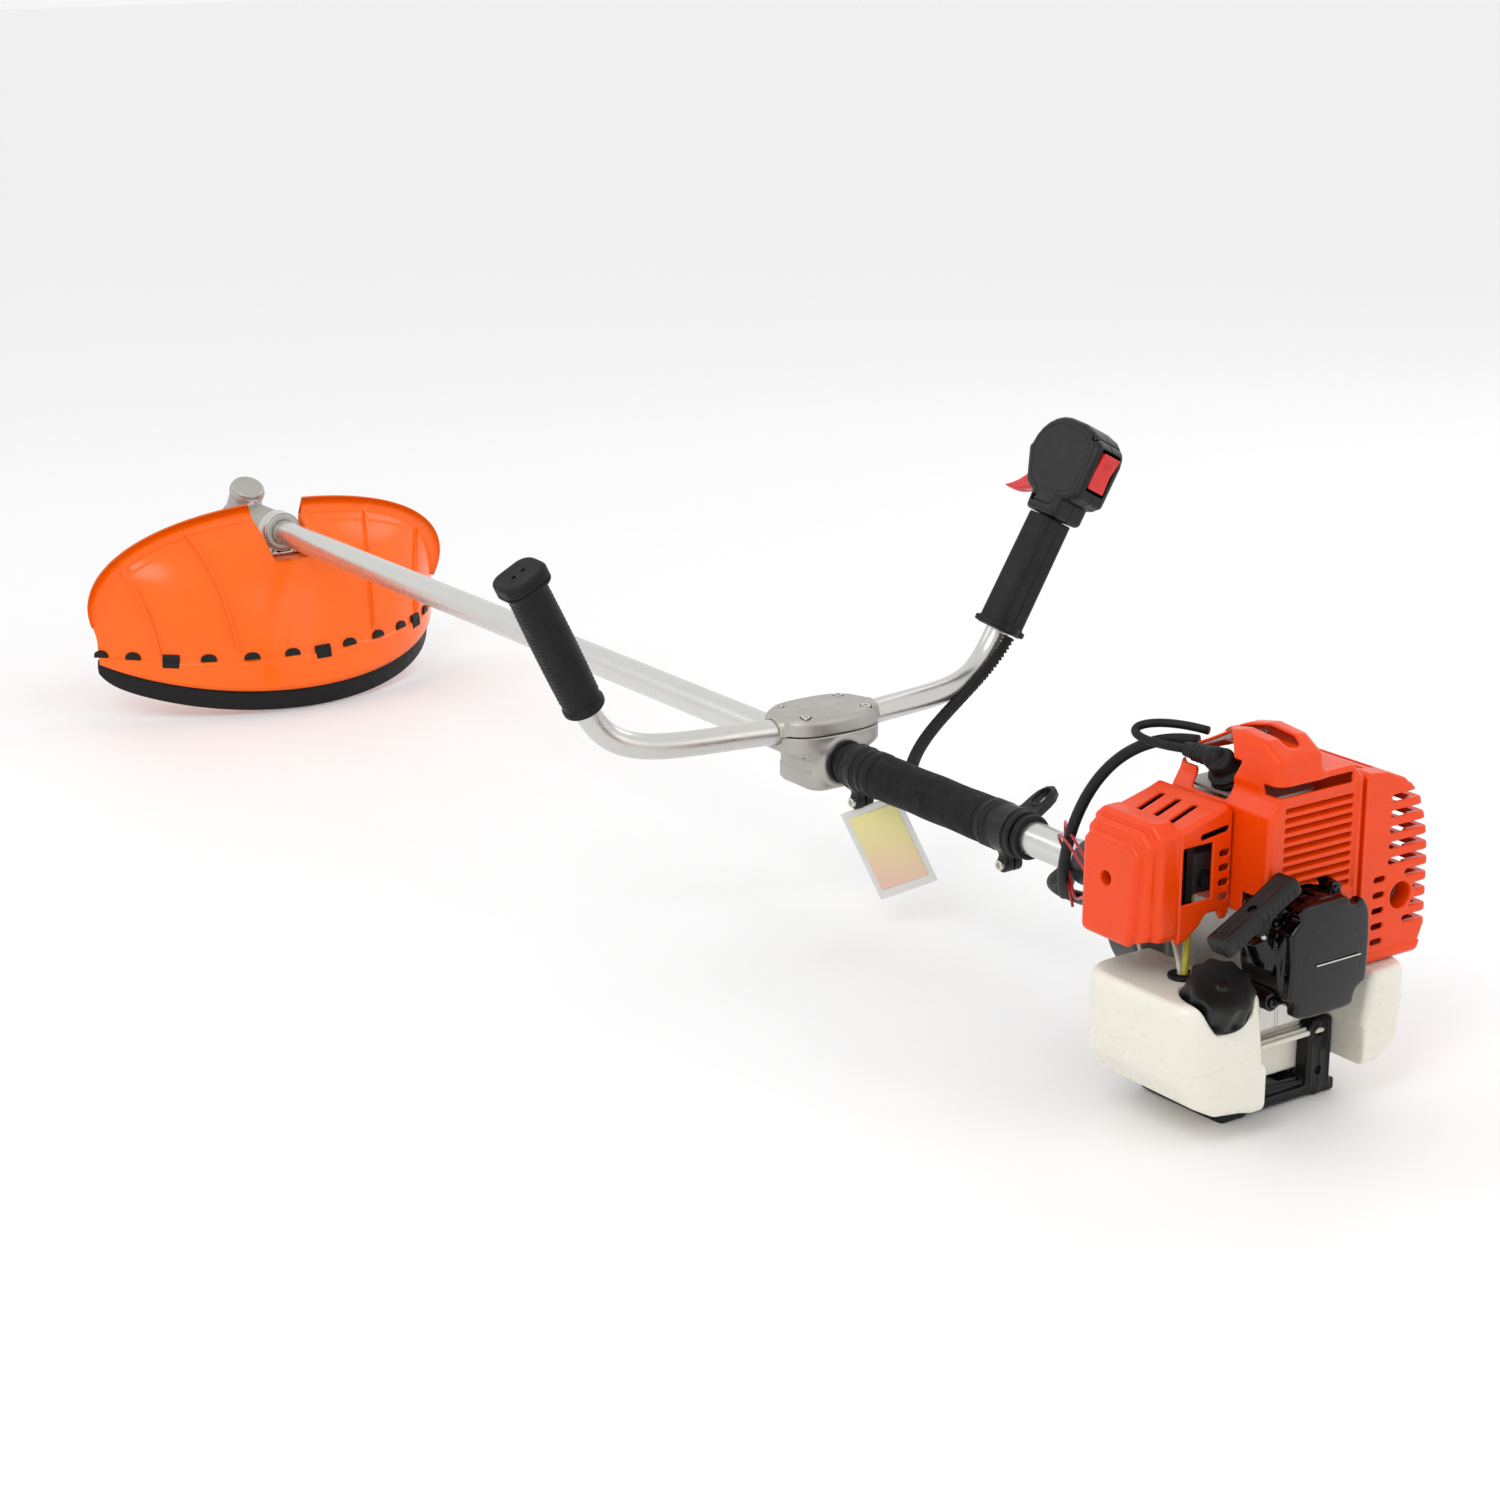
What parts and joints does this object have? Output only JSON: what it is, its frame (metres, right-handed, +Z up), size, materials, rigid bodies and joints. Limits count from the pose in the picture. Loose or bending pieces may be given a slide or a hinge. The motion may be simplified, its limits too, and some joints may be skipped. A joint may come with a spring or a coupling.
{
  "type": "brush cutter",
  "caption": "Petrol brush cutter: engine with recoil starter and fuel tank on a long straight tube, bike handlebar with grips and trigger, bevel gear head, line head and curved guard.",
  "frame": {"origin": "centre of the stand's flat bottom, under the engine", "axes": "+X back along the drive tube towards the starter, -Y to the machine's left where the air cleaner is, +Z up from the ground"},
  "size_m": [1.8497, 0.6396, 0.4441],
  "materials": {
    "cast": "bead-blasted die casting",
    "tube": "satin clear anodised",
    "steel": "ground",
    "bright": "zinc plated",
    "black": "moulded, fine grain",
    "glossblack": "moulded, satin",
    "rubber": "moulded",
    "orange": "moulded, satin gloss",
    "guard": "moulded, glossy",
    "red": "moulded",
    "tank": "blow-moulded translucent",
    "piston": "turned",
    "foam": "closed-cell foam"
  },
  "bodies": {
    "machine": {"gear_case": "cast", "ball_bearings": "steel", "drive_tube": "tube", "shaft_bushes": "black", "guard_bracket": "bright", "guard": "guard", "guard_skirt": "rubber", "line_knife": "bright", "clamp_base": "cast", "clamp_cap": "cast", "handlebar": "tube", "left_grip": "black", "right_grip": "black", "switch_housing_left": "black", "switch_housing_right": "black", "cable_conduit": "black", "tube_rings": "black", "foam_sleeve": "foam", "front_band": "black", "harness_bracket": "black", "machine_screws": "bright", "fan_case": "cast", "crankcase": "cast", "cylinder": "cast", "spark_plug": "bright", "plug_boot": "rubber", "ignition_coil": "black", "carburettor": "cast", "air_cleaner_base": "black", "air_filter": "foam", "air_cleaner_cover": "orange", "top_cover": "orange", "muffler": "steel", "muffler_cover": "orange", "starter_housing": "glossblack", "fuel_tank": "tank", "fuel_lines": "rubber", "stand": "rubber"},
    "crank": {"crankshaft": "steel", "flywheel": "cast", "clutch_shoes": "steel"},
    "drive_line": {"drive_shaft": "steel", "clutch_drum": "steel", "input_pinion": "steel"},
    "cutter": {"spindle": "steel", "output_gear": "steel", "blade_flange": "bright", "trimmer_head": "black"},
    "spool": {"line_spool": "black"},
    "piston_set": {"piston": "piston", "connecting_rod": "steel"},
    "rope_pulley": {"starter_pulley": "tank"},
    "pull_handle": {"starter_handle": "glossblack"},
    "trigger": {"throttle_trigger": "red"},
    "carb_throttle": {"throttle_lever": "steel"},
    "rocker": {"stop_switch": "red"},
    "lock_button": {"throttle_lock": "black"},
    "choke": {"choke_lever": "black"},
    "primer": {"primer_bulb": "red"},
    "cap": {"fuel_cap": "black"}
  },
  "joints": [
    {"name": "drive_shaft_spin", "type": "hinge", "parent": "machine", "child": "drive_line", "pos_m": [-0.7, 0, 0.13], "axis": [1, 0, 0], "continuous": true},
    {"name": "spindle_spin", "type": "hinge", "parent": "machine", "child": "cutter", "pos_m": [-1.64, 0, 0.13], "axis": [0.5, 0, 0.866], "continuous": true},
    {"name": "spool_bump", "type": "slide", "parent": "cutter", "child": "spool", "axis": [0.5, 0, 0.866], "range_m": [0, 0.003]},
    {"name": "crank_spin", "type": "hinge", "parent": "machine", "child": "crank", "pos_m": [0, 0, 0.13], "axis": [1, 0, 0], "continuous": true},
    {"name": "piston_stroke", "type": "slide", "parent": "machine", "child": "piston_set", "axis": [0, 0, -1], "range_m": [0, 0.032]},
    {"name": "pulley_turn", "type": "hinge", "parent": "machine", "child": "rope_pulley", "pos_m": [0.084, 0, 0.13], "axis": [1, 0, 0], "range_deg": [0, 1320]},
    {"name": "handle_pull", "type": "slide", "parent": "machine", "child": "pull_handle", "axis": [0, -0.4695, 0.8829], "range_m": [0, 0.6]},
    {"name": "trigger_squeeze", "type": "hinge", "parent": "machine", "child": "trigger", "pos_m": [-0.54392, 0.29578, 0.34064], "axis": [0, -0.8829, 0.4695], "range_deg": [0, 16]},
    {"name": "carb_throttle_turn", "type": "hinge", "parent": "machine", "child": "carb_throttle", "pos_m": [0.02, -0.06, 0.188], "axis": [0, 0, 1], "range_deg": [0, 50]},
    {"name": "stop_rocker", "type": "hinge", "parent": "machine", "child": "rocker", "pos_m": [-0.49362, 0.29695, 0.34285], "axis": [0, 0.8829, -0.4695], "range_deg": [0, 9]},
    {"name": "lock_press", "type": "slide", "parent": "machine", "child": "lock_button", "axis": [0.9976, -0.0327, -0.0616], "range_m": [0, 0.003]},
    {"name": "choke_turn", "type": "hinge", "parent": "machine", "child": "choke", "pos_m": [0.04, -0.088, 0.208], "axis": [0, -1, 0], "range_deg": [0, 60]},
    {"name": "primer_press", "type": "slide", "parent": "machine", "child": "primer", "axis": [-1, 0, 0], "range_m": [0, 0.0018]},
    {"name": "cap_turn", "type": "hinge", "parent": "machine", "child": "cap", "pos_m": [0.084, -0.086, 0.112], "axis": [0.4891, -0.2079, 0.8471], "range_deg": [0, 270]}
  ],
  "couplings": [
    {"joint": "spindle_spin", "follows": "drive_shaft_spin", "ratio": -0.78947},
    {"joint": "handle_pull", "follows": "pulley_turn", "m_per_rad": 0.026},
    {"joint": "carb_throttle_turn", "follows": "trigger_squeeze", "ratio": 3}
  ]
}
